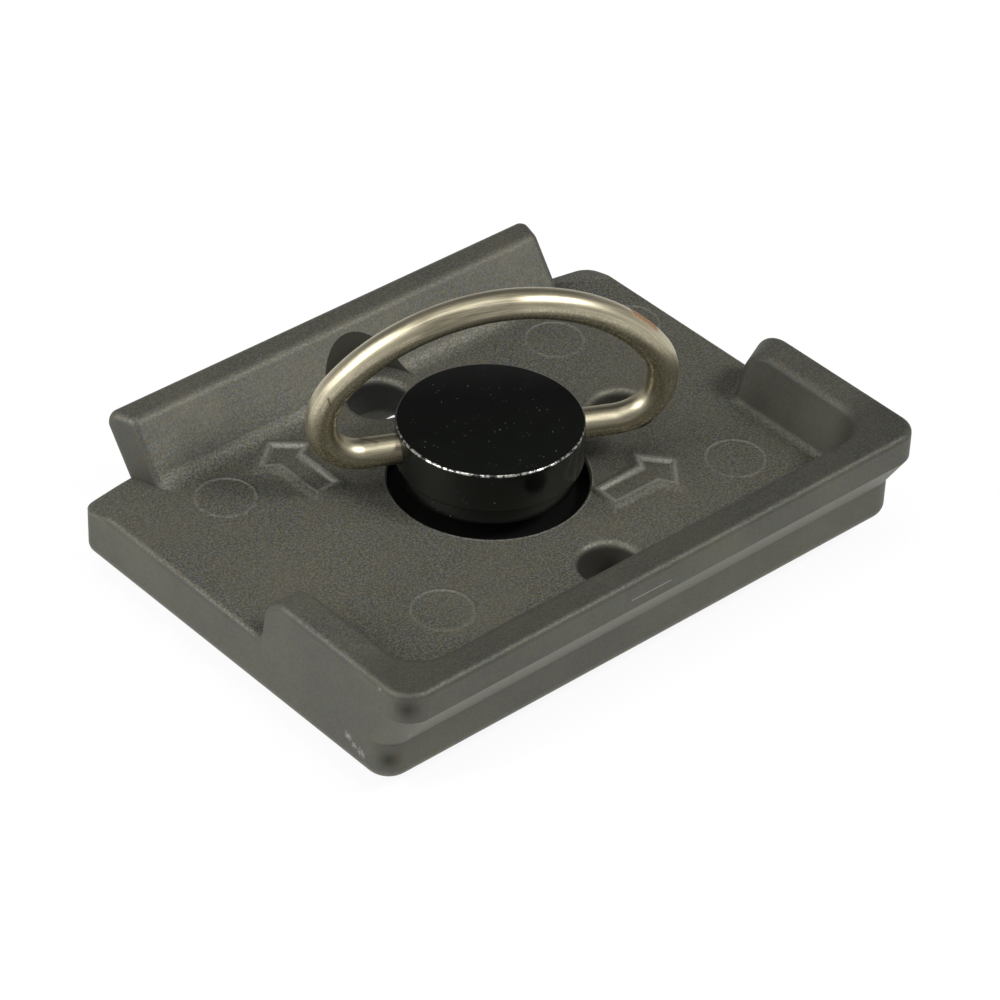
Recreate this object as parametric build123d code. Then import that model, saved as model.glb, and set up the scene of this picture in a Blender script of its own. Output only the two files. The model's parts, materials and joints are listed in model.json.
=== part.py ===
"""Tripod quick release plate, lying with its camera face down and its dovetail rails up.

X runs along the plate, Y from the long front rail to the short back rail, and Z up.
The origin is on the screw's axis, in the plane of the camera face, which is the pad's outer face.
"""
import os
from math import atan2, cos, degrees, radians, sin, sqrt, tan

from build123d import *

# Driving dimensions of the cast plate, in millimetres and degrees.
PLATE_LENGTH = 53.1
FLANGE_FRONT = 19.05
FLANGE_BACK = 17.7
FLANGE_THICKNESS = 5.0
FLANGE_FRONT_CORNER = 2.05
FLANGE_BACK_CORNER = 1.2
FLANGE_EDGE = 1.1
RAIL_HEIGHT = 4.6

# The floor falls away at the two back corners, past the ends of the back rail.
FALL_START = 14.0
FALL_TURN = 30.0
FALL_SLOPE = 17.0

# The front rail runs along the whole front and turns back into an arm at each end.
FRONT_OVERHANG = 2.15
FRONT_LIP = 2.55
FRONT_UNDERCUT_DROP = 1.35
FRONT_RAIL_TOP = 2.7
ARM_TOP = 2.85
FRONT_RAIL_CORNER = 2.15
FRONT_INNER_CORNER = 1.6
FRONT_INNER_DRAFT = 20.0
FRONT_FOOT_FILLET = 0.8
LEFT_ARM_REACH = 14.7
LEFT_ARM_SLOPE = 9.0
RIGHT_ARM_REACH = 16.45
RIGHT_ARM_SLOPE = 7.0
RIGHT_ARM_TURN = 25.0
ARM_END_ROUND = 2.6
OUTER_EDGE = 0.5
INNER_EDGE = 0.8

# The back rail is shorter than the plate and leans out over the flange's back edge.
BACK_RAIL_LENGTH = 42.0
BACK_OVERHANG = 4.15
BACK_ROOT = 1.0
BACK_RAIL_TOP = 3.65
BACK_INNER_SLOPE = 36.5
BACK_FOOT_FILLET = 2.0
BACK_RAIL_EDGE = 1.0
BACK_END_EDGE = 0.7
BACK_END_SLOPE = 11.7
BACK_END_TURN = 16.0

# Round holes through the floor, with rolled rims, and the relief for the pin's collar.
HOLE_RADIUS = 2.5
HOLE_RIM = 0.6
PIN_HOLE_Y = 13.4
FRONT_HOLE_Y = -14.2
SIDE_HOLE_X = 14.25
PIN_RELIEF_RADIUS = 4.3
PIN_PAD_NOTCH = 4.6

# The rubber pad sits in a recess of the camera face and stands a little proud of the casting.
PAD_PROUD = 0.25
PAD_RECESS = 1.7
PAD_BORDER = 1.7
PAD_CORNER = 1.5
PAD_GAP = 0.1
PAD_SCREW_OPENING = 6.6
PAD_EDGE = 0.25

# The captive camera screw: a flat round head on a boss, a shank, a clip groove and a 1/4 inch thread.
SCREW_TURN = -26.0
SCREW_TRAVEL = 2.0
SCREW_TIP_PROUD = 1.8
HEAD_RADIUS = 7.45
HEAD_THICKNESS = 3.5
HEAD_STANDOFF = 2.1
HEAD_EDGE = 0.22
BOSS_RADIUS = 7.0
SHANK_RADIUS = 3.175
SHANK_CLEARANCE = 0.08
TIP_CHAMFER = 0.7
COUNTERBORE_CLEARANCE = 0.55
COUNTERBORE_EDGE = 0.15
WEB_THICKNESS = 1.25
SEAT_GAP = 0.05

# The open retaining clip that keeps the screw in the plate.
CLIP_THICKNESS = 0.5
CLIP_OUTER_RADIUS = 4.9
CLIP_RING_WIDTH = 1.3
CLIP_PRONG_WIDTH = 1.8
CLIP_MOUTH_WIDTH = 3.6
CLIP_PRONG_ANGLE = 75.0
GROOVE_RADIUS = 2.4
CLIP_PLAY = 0.05
CLIP_RECESS_CLEARANCE = 1.0
CLIP_FACE_GAP = 0.1

# The wire ring, a flat-sided oval whose two legs turn in the cross hole of the head.
WIRE_RADIUS = 1.225
WIRE_CLEARANCE = 0.05
HINGE_DEPTH = 1.65
RING_LEAN = 8.0
RING_REACH = 13.8
RING_HALF_WIDTH = 13.65
RING_BACK_RADIUS = 15.6
RING_SIDE_RADIUS = 5.4
RING_FOOT_RADIUS = 3.6
LEG_DEPTH = 4.6

# Levels above the camera face.
rim_z = PAD_PROUD
recess_z = rim_z + PAD_RECESS
floor_z = rim_z + FLANGE_THICKNESS
rail_z = floor_z + RAIL_HEIGHT
web_z = CLIP_FACE_GAP + SCREW_TRAVEL + CLIP_THICKNESS + CLIP_PLAY
seat_z = web_z + WEB_THICKNESS
head_base_z = floor_z + HEAD_STANDOFF
head_top_z = head_base_z + HEAD_THICKNESS
hinge_z = head_top_z - HINGE_DEPTH
boss_base_z = seat_z + SCREW_TRAVEL + SEAT_GAP
clip_top_z = web_z - CLIP_PLAY
clip_base_z = clip_top_z - CLIP_THICKNESS

# Working allowances: how far a cutting block runs past what it cuts, and when two places count as one.
BLOCK_SPARE = 1.0
BLOCK_CORNER = 0.2
SAME_PLACE = 1e-4

# Outlines shared by the pieces.
half_length = PLATE_LENGTH / 2
front_tip_y = -(FLANGE_FRONT + FRONT_OVERHANG)
back_tip_y = FLANGE_BACK + BACK_OVERHANG
left_end_y = LEFT_ARM_REACH - FLANGE_FRONT
right_end_y = RIGHT_ARM_REACH - FLANGE_FRONT
arm_end_y = max(left_end_y, right_end_y)
back_top_y = back_tip_y - BACK_RAIL_TOP
back_foot_y = back_top_y - RAIL_HEIGHT * tan(radians(BACK_INNER_SLOPE))
counterbore_radius = HEAD_RADIUS + COUNTERBORE_CLEARANCE
clip_recess_radius = CLIP_OUTER_RADIUS + CLIP_RECESS_CLEARANCE


def polygon(points):
    """The flat face inside a closed run of straight lines."""
    return make_face(Polyline(*points, close=True))


def plan(low_x, low_y, high_x, high_y, front_radius, back_radius):
    """A rectangle in plan with one radius at its two front corners and another at its back ones."""
    outline = polygon([(low_x, low_y), (high_x, low_y), (high_x, high_y), (low_x, high_y)])
    outline = fillet([v for v in outline.vertices() if abs(v.Y - low_y) < SAME_PLACE], front_radius)
    return fillet([v for v in outline.vertices() if abs(v.Y - high_y) < SAME_PLACE], back_radius)


def upright(face, low_z, high_z):
    """The straight prism of a plan outline between two levels."""
    return extrude(Pos(0, 0, low_z) * face, high_z - low_z)


def disc(radius, low_z, high_z, x=0.0, y=0.0):
    """An upright cylinder between two levels."""
    return Pos(x, y, low_z) * extrude(Circle(radius), high_z - low_z)


def along_x(section, low_x, high_x):
    """The prism of a section drawn with Y across and Z up, between two stations on X."""
    return extrude(Plane.YZ.offset(low_x) * section, high_x - low_x)


def along_y(section, low_y, high_y):
    """The prism of a section drawn with X across and Z up, between two stations on Y."""
    return extrude(Plane.XZ.offset(-high_y) * section, high_y - low_y)


def edges_at(shape, z):
    """The edges of a shape that lie flat at one level."""
    found = []
    for edge in shape.edges():
        box = edge.bounding_box()
        if max(abs(box.min.Z - z), abs(box.max.Z - z)) < SAME_PLACE:
            found.append(edge)
    return found


def round_edges(shape, radius, z):
    """The round edges of one radius at one level."""
    circles = [e for e in edges_at(shape, z) if e.geom_type == GeomType.CIRCLE]
    return [e for e in circles if abs(e.radius - radius) < SAME_PLACE]


def corner_fall(side):
    """What is taken off one back corner of the floor: all above a plane that falls to the corner."""
    block = Pos(0, 0, PLATE_LENGTH / 2) * Box(2 * PLATE_LENGTH, 2 * PLATE_LENGTH, PLATE_LENGTH)
    block = Rot(0, 0, -side * FALL_TURN) * Rot(-FALL_SLOPE, 0, 0) * block
    return Pos(side * half_length, FALL_START, floor_z) * block


def make_flange():
    """The flat floor of the plate, with softened outer edges."""
    outline = plan(
        -half_length, -FLANGE_FRONT, half_length, FLANGE_BACK, FLANGE_FRONT_CORNER, FLANGE_BACK_CORNER
    )
    slab = upright(outline, rim_z, floor_z)
    return fillet(edges_at(slab, rim_z), FLANGE_EDGE)


def past_arm_end(side, face_y, slope, turn):
    """All that lies behind the end of an arm, whose face leans to the front and may turn to the inside."""
    lean = RAIL_HEIGHT * tan(radians(slope))
    over_z = rail_z + RAIL_HEIGHT
    section = polygon([
        (0, rim_z), (0, floor_z), (-2 * lean, over_z), (PLATE_LENGTH, over_z), (PLATE_LENGTH, rim_z),
    ])
    block = along_x(section, -3 * ARM_TOP, 3 * ARM_TOP)
    return Pos(side * half_length, face_y, 0) * Rot(0, 0, side * turn) * block


def on_outside(edge):
    """Whether a brink of the front rail lies along its front, its outer corners or its outer sides."""
    middle = edge.center()
    size = edge.bounding_box().size
    beside = size.Y > size.X and abs(middle.X) > half_length - ARM_TOP / 2
    return beside or middle.Y < front_tip_y + FRONT_RAIL_TOP / 2


def across_arm(edge):
    """Whether a brink of the front rail lies across the end of an arm."""
    size = edge.bounding_box().size
    return size.Y < size.X and edge.center().Y > front_tip_y / 2


def make_front_rail():
    """The C-shaped front rail: an upright lip over an undercut, drafted inside, with rounded arm ends."""
    notch_z = floor_z - FRONT_UNDERCUT_DROP
    lip_z = rail_z - FRONT_LIP
    back_y = arm_end_y + BLOCK_SPARE
    low = plan(-half_length, -FLANGE_FRONT, half_length, back_y, FLANGE_FRONT_CORNER, BLOCK_CORNER)
    high = plan(-half_length, front_tip_y, half_length, back_y, FRONT_RAIL_CORNER, BLOCK_CORNER)
    block = loft([Pos(0, 0, notch_z) * low, Pos(0, 0, lip_z) * high]) + upright(high, lip_z, rail_z)
    draft = RAIL_HEIGHT * tan(radians(FRONT_INNER_DRAFT))
    inner_x = half_length - ARM_TOP
    inner_y = front_tip_y + FRONT_RAIL_TOP
    far_y = back_y + BLOCK_SPARE
    foot = plan(
        -inner_x + draft, inner_y + draft, inner_x - draft, far_y, FRONT_INNER_CORNER, BLOCK_CORNER
    )
    brink = plan(-inner_x, inner_y, inner_x, far_y, FRONT_INNER_CORNER + draft, BLOCK_CORNER)
    block -= loft([Pos(0, 0, floor_z) * foot, Pos(0, 0, rail_z) * brink])
    block -= past_arm_end(-1, left_end_y, LEFT_ARM_SLOPE, 0)
    block -= past_arm_end(1, right_end_y, RIGHT_ARM_SLOPE, RIGHT_ARM_TURN)
    block = fillet([e for e in edges_at(block, rail_z) if across_arm(e)], ARM_END_ROUND)
    inside = [e for e in edges_at(block, rail_z) if not on_outside(e) and not across_arm(e)]
    return fillet(inside, INNER_EDGE)


def past_rail_end(side):
    """All that lies past one end of the back rail, whose face leans in and looks a little to the front."""
    lean = RAIL_HEIGHT * tan(radians(BACK_END_SLOPE))
    over_z = rail_z + RAIL_HEIGHT
    under_z = floor_z - RAIL_HEIGHT
    section = polygon([
        (side * lean, under_z), (-2 * side * lean, over_z),
        (side * PLATE_LENGTH, over_z), (side * PLATE_LENGTH, under_z),
    ])
    block = Rot(0, 0, -side * BACK_END_TURN) * along_y(section, -PLATE_LENGTH, PLATE_LENGTH)
    return Pos(side * BACK_RAIL_LENGTH / 2, back_foot_y, 0) * block


def make_back_rail():
    """The back rail: a leaning section drawn along the plate, with a cove at its foot and rounded ends."""
    root_z = floor_z - BACK_ROOT
    far_x = PLATE_LENGTH / 2
    run = BACK_FOOT_FILLET * tan(radians(90 - BACK_INNER_SLOPE) / 2)
    toe_y = back_foot_y - run
    crest_y = back_foot_y + run * sin(radians(BACK_INNER_SLOPE))
    crest_z = floor_z + run * cos(radians(BACK_INNER_SLOPE))
    section = Polyline(
        (crest_y, crest_z), (back_top_y, rail_z), (back_tip_y, rail_z),
        (FLANGE_BACK, root_z), (toe_y, root_z), (toe_y, floor_z),
    )
    section += CenterArc((toe_y, floor_z + BACK_FOOT_FILLET), BACK_FOOT_FILLET, -90, 90 - BACK_INNER_SLOPE)
    section = make_face(section)
    section = fillet([v for v in section.vertices() if abs(v.Y - rail_z) < SAME_PLACE], BACK_RAIL_EDGE)
    rail = along_x(section, -far_x, far_x) - past_rail_end(-1) - past_rail_end(1)
    ends = rail.faces().sort_by(Axis.X)
    rims = [e for end in (ends[0], ends[-1]) for e in end.edges() if e.center().Z > crest_z]
    return fillet([e for e in rims if e.center().Y > crest_y], BACK_END_EDGE)


def make_plate_body():
    """The whole casting: flange, rails, floor holes, the screw's counterbore and the recesses below."""
    body = make_flange() + make_front_rail()
    front_feet = [
        e for e in edges_at(body, floor_z)
        if e.center().Y < arm_end_y + SAME_PLACE and abs(e.center().X) < half_length - SAME_PLACE
    ]
    body = fillet(front_feet, FRONT_FOOT_FILLET)
    body = fillet([e for e in edges_at(body, rail_z) if on_outside(e)], OUTER_EDGE)
    body -= corner_fall(-1) + corner_fall(1)
    body += make_back_rail()

    # Relief for the pin's collar, then the three holes with their rolled rims.
    body -= disc(PIN_RELIEF_RADIUS, floor_z, rail_z + BLOCK_SPARE, 0, PIN_HOLE_Y)
    for x, y in ((0, PIN_HOLE_Y), (0, FRONT_HOLE_Y), (SIDE_HOLE_X, 0)):
        body -= disc(HOLE_RADIUS, rim_z - BLOCK_SPARE, floor_z + BLOCK_SPARE, x, y)
    body = fillet(round_edges(body, HOLE_RADIUS, floor_z), HOLE_RIM)

    # Counterbore for the head's boss, the shank's hole, and below them the clip's room and the pad's recess.
    body -= disc(counterbore_radius, seat_z, floor_z + BLOCK_SPARE)
    body = chamfer(round_edges(body, counterbore_radius, floor_z), COUNTERBORE_EDGE)
    body -= disc(SHANK_RADIUS + SHANK_CLEARANCE, web_z - BLOCK_SPARE, seat_z + BLOCK_SPARE)
    body -= disc(clip_recess_radius, rim_z - BLOCK_SPARE, web_z)
    body -= upright(pad_outline(0), rim_z - BLOCK_SPARE, recess_z)
    return body


def pad_outline(gap):
    """The plan of the pad's recess, drawn in all round by a gap."""
    inset = PAD_BORDER + gap
    corner = PAD_CORNER - gap
    return plan(
        -half_length + inset, -FLANGE_FRONT + inset, half_length - inset, FLANGE_BACK - inset, corner, corner
    )


def make_rubber_pad():
    """The grip pad: a slab with a round opening for the screw and a notch, open to the back, for the pin."""
    pad = upright(pad_outline(PAD_GAP), 0, recess_z)
    pad -= disc(PAD_SCREW_OPENING, -BLOCK_SPARE, recess_z + BLOCK_SPARE)
    pad -= disc(PIN_PAD_NOTCH, -BLOCK_SPARE, recess_z + BLOCK_SPARE, 0, PIN_HOLE_Y)
    mouth = polygon([
        (-PIN_PAD_NOTCH, PIN_HOLE_Y), (PIN_PAD_NOTCH, PIN_HOLE_Y),
        (PIN_PAD_NOTCH, back_tip_y), (-PIN_PAD_NOTCH, back_tip_y),
    ])
    pad -= upright(mouth, -BLOCK_SPARE, recess_z + BLOCK_SPARE)
    return fillet(edges_at(pad, 0), PAD_EDGE)


def make_camera_screw():
    """The turned screw: disc head with a cross hole for the ring, boss, grooved shank and bevelled tip."""
    head = disc(HEAD_RADIUS, head_base_z, head_top_z)
    head = fillet(round_edges(head, HEAD_RADIUS, head_top_z), HEAD_EDGE)
    head = fillet(round_edges(head, HEAD_RADIUS, head_base_z), HEAD_EDGE)
    cross_hole = Cylinder(WIRE_RADIUS + WIRE_CLEARANCE, 2 * HEAD_RADIUS + BLOCK_SPARE)
    head -= Pos(0, 0, hinge_z) * Rot(0, 0, SCREW_TURN) * Rot(0, 90, 0) * cross_hole
    shank = disc(SHANK_RADIUS, -SCREW_TIP_PROUD, boss_base_z)
    shank = chamfer(round_edges(shank, SHANK_RADIUS, -SCREW_TIP_PROUD), TIP_CHAMFER)
    groove = disc(SHANK_RADIUS + BLOCK_SPARE, clip_base_z - CLIP_PLAY, clip_top_z + CLIP_PLAY)
    groove -= disc(GROOVE_RADIUS, clip_base_z - CLIP_PLAY, clip_top_z + CLIP_PLAY)
    return head + disc(BOSS_RADIUS, boss_base_z, head_base_z) + shank - groove


def make_retaining_clip():
    """The E-shaped clip: a flat open ring with three prongs that reach into the screw's groove."""
    inner_radius = CLIP_OUTER_RADIUS - CLIP_RING_WIDTH
    prong_tip = GROOVE_RADIUS + CLIP_PLAY
    mouth = Pos(0, -CLIP_OUTER_RADIUS) * Rectangle(CLIP_MOUTH_WIDTH, 2 * CLIP_OUTER_RADIUS)
    flat = Circle(CLIP_OUTER_RADIUS) - Circle(inner_radius) - mouth
    prong = Pos(inner_radius / 2, 0) * Rectangle(inner_radius + CLIP_RING_WIDTH, CLIP_PRONG_WIDTH)
    for angle in (90, CLIP_PRONG_ANGLE - 90, -90 - CLIP_PRONG_ANGLE):
        flat += Rot(0, 0, angle) * prong
    return upright(flat - Circle(prong_tip), clip_base_z, clip_top_z)


def make_ring():
    """The wire ring: one round wire swept along two legs, two foot bends and a wide oval back."""
    leg_start = HEAD_RADIUS - LEG_DEPTH
    foot_x = RING_HALF_WIDTH - RING_FOOT_RADIUS
    side_x = RING_HALF_WIDTH - RING_SIDE_RADIUS
    back_y = RING_REACH - RING_BACK_RADIUS
    side_y = back_y + sqrt((RING_BACK_RADIUS - RING_SIDE_RADIUS) ** 2 - side_x ** 2)
    sweep_angle = degrees(atan2(side_y - back_y, side_x))
    half = Line((leg_start, 0), (foot_x, 0))
    half += CenterArc((foot_x, RING_FOOT_RADIUS), RING_FOOT_RADIUS, -90, 90)
    half += Line((RING_HALF_WIDTH, RING_FOOT_RADIUS), (RING_HALF_WIDTH, side_y))
    half += CenterArc((side_x, side_y), RING_SIDE_RADIUS, 0, sweep_angle)
    half += CenterArc((0, back_y), RING_BACK_RADIUS, sweep_angle, 90 - sweep_angle)
    path = half + mirror(half, about=Plane.YZ)
    wire = sweep(Plane((leg_start, 0, 0), z_dir=(1, 0, 0)) * Circle(WIRE_RADIUS), path=path)
    return Pos(0, 0, hinge_z) * Rot(0, 0, SCREW_TURN) * Rot(90 + RING_LEAN, 0, 0) * wire


os.makedirs("parts", exist_ok=True)
pieces = {
    "plate_body": make_plate_body(),
    "rubber_pad": make_rubber_pad(),
    "camera_screw": make_camera_screw(),
    "retaining_clip": make_retaining_clip(),
    "ring": make_ring(),
}
for name, piece in pieces.items():
    export_step(piece, f"parts/{name}.step")
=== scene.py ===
import json

import bpy
import numpy as np
from mathutils import Matrix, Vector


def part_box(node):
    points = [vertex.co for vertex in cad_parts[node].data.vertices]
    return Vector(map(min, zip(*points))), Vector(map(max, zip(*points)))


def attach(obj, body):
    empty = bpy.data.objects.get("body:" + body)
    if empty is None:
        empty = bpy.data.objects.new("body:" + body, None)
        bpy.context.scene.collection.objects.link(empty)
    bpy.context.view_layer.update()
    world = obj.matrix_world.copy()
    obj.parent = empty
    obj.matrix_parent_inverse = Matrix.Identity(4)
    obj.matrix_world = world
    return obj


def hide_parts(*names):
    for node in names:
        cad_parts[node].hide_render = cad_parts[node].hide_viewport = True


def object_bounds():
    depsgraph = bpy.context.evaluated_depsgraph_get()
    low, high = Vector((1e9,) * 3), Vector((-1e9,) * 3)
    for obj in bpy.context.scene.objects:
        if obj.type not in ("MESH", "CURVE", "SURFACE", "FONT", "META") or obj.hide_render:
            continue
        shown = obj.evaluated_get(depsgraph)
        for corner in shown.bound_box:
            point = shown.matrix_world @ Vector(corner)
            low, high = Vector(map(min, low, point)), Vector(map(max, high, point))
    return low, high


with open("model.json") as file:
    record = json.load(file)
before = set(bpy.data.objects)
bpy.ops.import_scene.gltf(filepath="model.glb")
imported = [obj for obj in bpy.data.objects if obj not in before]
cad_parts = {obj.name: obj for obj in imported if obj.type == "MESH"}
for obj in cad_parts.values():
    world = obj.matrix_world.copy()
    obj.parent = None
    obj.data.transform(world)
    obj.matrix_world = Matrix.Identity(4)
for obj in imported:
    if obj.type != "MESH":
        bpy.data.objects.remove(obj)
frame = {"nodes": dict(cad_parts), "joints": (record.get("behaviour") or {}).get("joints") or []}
cad_low, cad_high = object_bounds()

# The plate is one pressure die casting in a dark grey-green light alloy, blasted to a fine even grain.
# Floor, flared rails, holes and counterbore leave the mould as one piece, so it is shown as modelled.
# Use has rubbed its edges pale and left a few chips and one scratch.
# Shade and light are painted into the colour too: shade in corners, inside holes, in two spots, on the front
# rail's top and on the sides; paler faces that look down, and a highlight at the counterbore's front rim.
MM = 0.001
CAST_DARK = (0.056, 0.056, 0.050, 1)
CAST_LIGHT = (0.190, 0.188, 0.162, 1)
CAST_SHADE = (0.022, 0.022, 0.019, 1)
CAST_WARM = (0.130, 0.122, 0.088, 1)
CAST_WORN = (0.34, 0.335, 0.30, 1)
CAST_SPOT_SHADE = (0.014, 0.014, 0.012, 1)
CAST_HOLE_SHADE = (0.004, 0.004, 0.0035, 1)
WARM_GRAIN = (1.08, 1.0, 0.80, 1)
COOL_GRAIN = (0.94, 1.0, 1.08, 1)
CAST_METAL = 0.65
CAST_ROUGHNESS = (0.64, 0.54)
CAST_GRAIN = {"size": 0.18 * MM, "detail": 1.0, "roughness": 1.0}
GRAIN_SPREAD = (0.38, 0.74)
GRAIN_GLOSS = (0.3, 0.7)
GRAIN_RELIEF = (0.1, 0.4)
GRAIN_DEPTH = 0.06 * MM
TINT_GRAIN = {"size": 0.34 * MM, "detail": 2.0, "roughness": 0.5}
TINT_SPREAD = (0.35, 0.65)
CAST_PATCH = {"size": 8.0 * MM, "detail": 5.0, "roughness": 0.65}
PATCH_SPREAD = (0.40, 0.66)
PATCH_SHARE = 0.4

FLOOR_LEVEL = 5.25 * MM
FACE_UP = (0.3, 0.95)
# Painted light and shade by facing: upright sides take darker shades than the floor, and faces that look down
# paler ones.
FACE_DOWN = (0.1, -0.6)
FLOOR_SHADES = (0.0, 1.0)
SIDE_PAINTED_SHADES = (0.10, 0.18)
UNDERCUT_PAINTED_LIGHT = (0.62, 0.72)
RAIL_LEVELS = (FLOOR_LEVEL + 1.0 * MM, FLOOR_LEVEL + 3.0 * MM)
RAIL_GRAIN = 0.5
# Painted shade on the front rail's top: its upward faces are darkened toward the shade colour.
FRONT_TOP_SHADE_LEVELS = (FLOOR_LEVEL + 2.0 * MM, FLOOR_LEVEL + 4.0 * MM)
FRONT_TOP_SHADE_FACING = (0.1, 0.9)
FRONT_TOP_SHADE_REACH = (-14.0 * MM, -17.0 * MM)
FRONT_TOP_SHADE_SHARE = 0.38

OCCLUSION = {"samples": 8, "only_local": True}
# Painted shade in corners and along the rails' feet, where little of the room is open to a place.
CORNER_REACH = 4.5 * MM
CORNER_OPEN = (0.95, 0.35)
CORNER_SHARE = 0.7
# Painted shade inside the counterbore and the pin hole: below the floor's level they go nearly black.
HOLE_SHADE_LEVELS = (FLOOR_LEVEL - 0.2 * MM, FLOOR_LEVEL - 0.7 * MM)
HOLE_SHADE_FADE = 0.2
COUNTERBORE_MIDDLE = (0.0, 0.0)
SHADED_HOLES = (
    (COUNTERBORE_MIDDLE, 8.0, 1.0), ((0.0, 13.4), 2.5, 0.8),
)
# Painted shade: two dark spots on the rounded front left corner.
SHADE_SPOTS = (
    ((-25.9, -20.6, 8.6), 1.2), ((-25.8, -18.6, 2.4), 1.1),
)
SHADE_SPOT_SHARE = 0.8

BODY_WEAR = 0.34
EDGE_REACH = 1.0 * MM
EDGE_THIN = (0.75, 0.35)
RUB_GRAIN = (0.3, 0.6)
RUB_LEAST = 0.5
COUNTERBORE_EDGE = 8.15 * MM
# A painted highlight: a thin pale ring just outside the counterbore's rim, on its front only.
GLINT_RISE = (COUNTERBORE_EDGE, COUNTERBORE_EDGE + 0.02 * MM)
GLINT_FALL = (COUNTERBORE_EDGE + 0.16 * MM, COUNTERBORE_EDGE + 0.08 * MM)
GLINT_FRONT = (-2.0 * MM, -4.0 * MM)
GLINT_GRAIN = (0.4, 0.5)
GLINT_SHARE = 0.5
SCRATCHES = (
    ((-4.4, -21.2, 8.2), (-0.4, -21.2, 8.15), 0.10),
)
CHIPS = (
    ((-26.55, -14.8, 2.65), 0.5), ((-26.55, -15.5, 2.2), 0.35), ((-26.55, -16.3, 2.0), 0.55),
    ((-26.5, -18.2, 9.35), 0.25), ((-24.8, -19.7, 4.95), 0.25),
)
CHIP_GRAIN = (0.4, 0.56)


def node(tree, kind, inputs=(), **settings):
    """A new shader node of one kind, with its settings, and a value or a link on each input that is named."""
    made = tree.nodes.new("ShaderNode" + kind)
    for key, value in settings.items():
        setattr(made, key, value)
    for socket, value in dict(inputs).items():
        if isinstance(value, bpy.types.NodeSocket):
            tree.links.new(value, made.inputs[socket])
        else:
            made.inputs[socket].default_value = value
    return made


def start_material(name):
    """A new material, with its node tree, its shader and the place on the piece that its patterns follow."""
    made = bpy.data.materials.new(name)
    made.use_nodes = True
    tree = made.node_tree
    return made, tree, tree.nodes["Principled BSDF"], node(tree, "TexCoord").outputs["Object"]


def dress(tree, shader, colour, roughness, height, strength, depth, sunk=False):
    """Gives a shader its colour and roughness, and a bump of some depth that follows a pattern of heights."""
    bump = node(tree, "Bump", {"Height": height, "Strength": strength, "Distance": depth}, invert=sunk)
    tree.links.new(colour, shader.inputs["Base Color"])
    tree.links.new(roughness, shader.inputs["Roughness"])
    tree.links.new(bump.outputs["Normal"], shader.inputs["Normal"])


def noise(tree, place, size, detail, roughness):
    """Cloudy values from 0 to 1: blotches about one size across, with finer detail, softer or rougher."""
    inputs = {"Vector": place, "Scale": 1 / size, "Detail": detail, "Roughness": roughness}
    return node(tree, "TexNoise", inputs).outputs["Fac"]


def span(tree, value, low, high, to_low=0.0, to_high=1.0):
    """A value carried from one span to another and held at the second one's ends."""
    inputs = {"Value": value, "From Min": low, "From Max": high, "To Min": to_low, "To Max": to_high}
    return node(tree, "MapRange", inputs).outputs["Result"]


def times(tree, first, second):
    """The product of two values."""
    return node(tree, "Math", {0: first, 1: second}, operation="MULTIPLY").outputs["Value"]


def most(tree, first, second):
    """The larger of two values."""
    return node(tree, "Math", {0: first, 1: second}, operation="MAXIMUM").outputs["Value"]


def tint(tree, share, first, second, blend="MIX"):
    """A colour between two, at a share of the way from the first to the second, or the two blended."""
    mix = node(tree, "Mix", {0: share, 6: first, 7: second}, data_type="RGBA", blend_type=blend)
    return mix.outputs[2]


def component(tree, vector, axis):
    """How far a vector reaches along X, Y or Z."""
    return node(tree, "SeparateXYZ", {"Vector": vector}).outputs[axis]


def dot(tree, first, second):
    """The inner product of two vectors."""
    return node(tree, "VectorMath", {0: first, 1: second}, operation="DOT_PRODUCT").outputs["Value"]


def distance(tree, first, second):
    """The distance between two places."""
    return node(tree, "VectorMath", {0: first, 1: second}, operation="DISTANCE").outputs["Value"]


def stroke(tree, place, start, end, width):
    """One thin mark: full on the straight line between two points, gone at half its width to each side."""
    start, end = np.array(start) * MM, np.array(end) * MM
    way = end - start
    from_start = node(tree, "VectorMath", {0: place, 1: start}, operation="SUBTRACT").outputs["Vector"]
    share = span(tree, dot(tree, from_start, way / (way @ way)), 0.0, 1.0)
    nearest = node(tree, "VectorMath", {0: way, "Scale": share}, operation="SCALE").outputs["Vector"]
    return span(tree, distance(tree, from_start, nearest), width * MM / 2, 0.0)


def blot(tree, place, centre, radius):
    """One round mark: full at its centre, gone at its radius."""
    return span(tree, distance(tree, place, np.array(centre) * MM), radius * MM, 0.0)


def out_from(tree, place, centre):
    """The distance of a place from an upright line through a plan point."""
    parts = node(tree, "SeparateXYZ", {"Vector": place}).outputs
    flat = node(tree, "CombineXYZ", {"X": parts["X"], "Y": parts["Y"]}).outputs["Vector"]
    return distance(tree, flat, np.array((*centre, 0.0)) * MM)


def cast_skin(tree, place, grain, coarse, upward):
    """The casting's colour before wear: grain between two shades, under warm and cool tints and patches.

    On the coarse floor the grain takes in every shade. On the sides it takes in only a few dark ones, as
    painted shade, and they are paler the more a face looks down, as painted light from the white sheet below.
    """
    ends = []
    for side, undercut, floor in zip(SIDE_PAINTED_SHADES, UNDERCUT_PAINTED_LIGHT, FLOOR_SHADES):
        # Painted shade on upright sides and painted light on faces that look down.
        painted_by_facing = span(tree, upward, *FACE_DOWN, side, undercut)
        ends.append(span(tree, coarse, 0.0, 1.0, painted_by_facing, floor))
    colour = tint(tree, span(tree, grain, *GRAIN_SPREAD, *ends), CAST_DARK, CAST_LIGHT)
    hue = span(tree, noise(tree, place, **TINT_GRAIN), *TINT_SPREAD)
    hue = tint(tree, hue, COOL_GRAIN, WARM_GRAIN)
    colour = tint(tree, 1.0, colour, hue, "MULTIPLY")
    patch = span(tree, noise(tree, place, **CAST_PATCH), *PATCH_SPREAD, 0.0, PATCH_SHARE)
    return tint(tree, patch, colour, CAST_WARM)


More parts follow.
